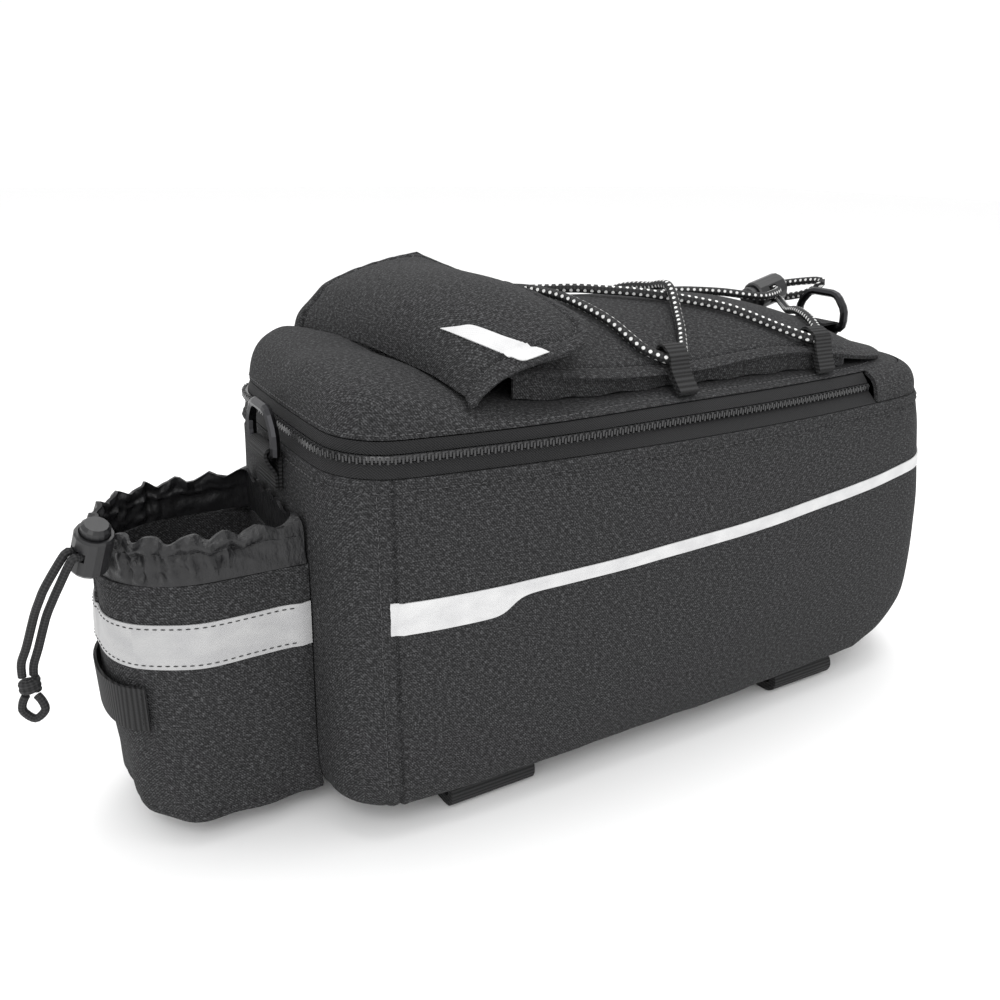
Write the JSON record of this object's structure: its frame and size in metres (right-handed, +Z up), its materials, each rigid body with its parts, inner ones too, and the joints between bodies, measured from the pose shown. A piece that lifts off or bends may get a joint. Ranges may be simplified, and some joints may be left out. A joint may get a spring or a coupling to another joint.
{
  "type": "bicycle trunk bag",
  "caption": "Padded bicycle rack trunk bag with a zipped lid, flap pocket, laced elastic cord, reflective trim and a drawcord bottle pocket.",
  "frame": {"origin": "under the middle of the bag, on the plane its rack straps rest on", "axes": "+X along the bag to the end where the lid hinges, -X to the bottle pocket, -Y the side with the near stripe, +Z up"},
  "size_m": [0.4502, 0.1622, 0.215],
  "materials": {
    "fabric": "dark grey melange polyester weave, matt",
    "webbing": "black ribbed webbing",
    "zip_tape": "black herringbone tape",
    "zip_coil": "black nylon coil",
    "nylon": "thin black nylon with a slight sheen",
    "reflective": "light grey reflective film",
    "plastic": "black moulded plastic",
    "cord": "black braided cord",
    "metal": "dark gunmetal"
  },
  "bodies": {
    "bag": {"bottle_pocket": "fabric", "bungee_cord": "cord", "bungee_lock_barrel": "plastic", "d_ring_tab_hinge_end": "webbing", "d_ring_tab_pocket_end": "webbing", "drawcord_knot": "cord", "drawcord_lock_barrel": "plastic", "drawcord_loop": "cord", "drawcord_lower": "cord", "drawcord_upper": "cord", "far_loop_a": "webbing", "far_loop_b": "webbing", "flap": "fabric", "flap_patch": "reflective", "hinge_gusset": "fabric", "lid": "fabric", "light_loop": "webbing", "main_tub": "fabric", "near_loop_a": "webbing", "near_loop_b": "webbing", "pocket_band": "reflective", "pocket_collar": "nylon", "pocket_gusset_far": "fabric", "pocket_gusset_near": "fabric", "pocket_panel": "fabric", "side_stripe_far": "reflective", "side_stripe_near": "reflective", "strap_roll_front_far": "webbing", "strap_roll_front_near": "webbing", "strap_roll_rear_far": "webbing", "strap_roll_rear_near": "webbing", "zip_coil": "zip_coil", "zip_pull": "webbing", "zip_slider": "metal", "zip_tape_lower": "zip_tape", "zip_tape_upper": "zip_tape"},
    "hinge_end_ring": {"d_ring_hinge_end": "metal"},
    "pocket_end_ring": {"d_ring_pocket_end": "metal"},
    "bungee_lock_button": {"bungee_lock_plunger": "plastic"},
    "drawcord_lock_button": {"drawcord_lock_plunger": "plastic"}
  },
  "joints": [
    {"name": "hinge_end_ring_swing", "type": "hinge", "parent": "bag", "child": "hinge_end_ring", "pos_m": [0.173, -0.0022, 0.17597], "axis": [0, 1, 0], "range_deg": [-25, 80]},
    {"name": "pocket_end_ring_swing", "type": "hinge", "parent": "bag", "child": "pocket_end_ring", "pos_m": [-0.1379, -0.0002, 0.149], "axis": [0, -1, 0], "range_deg": [0, 100]},
    {"name": "bungee_lock_press", "type": "slide", "parent": "bag", "child": "bungee_lock_button", "axis": [0.9659, 0, 0.2588], "range_m": [0, 0.0034], "stiffness_N_per_m": 400, "springref_m": -0.002},
    {"name": "drawcord_lock_press", "type": "slide", "parent": "bag", "child": "drawcord_lock_button", "axis": [-0.2002, 0.3604, -0.9111], "range_m": [0, 0.0025], "stiffness_N_per_m": 400, "springref_m": -0.002}
  ]
}
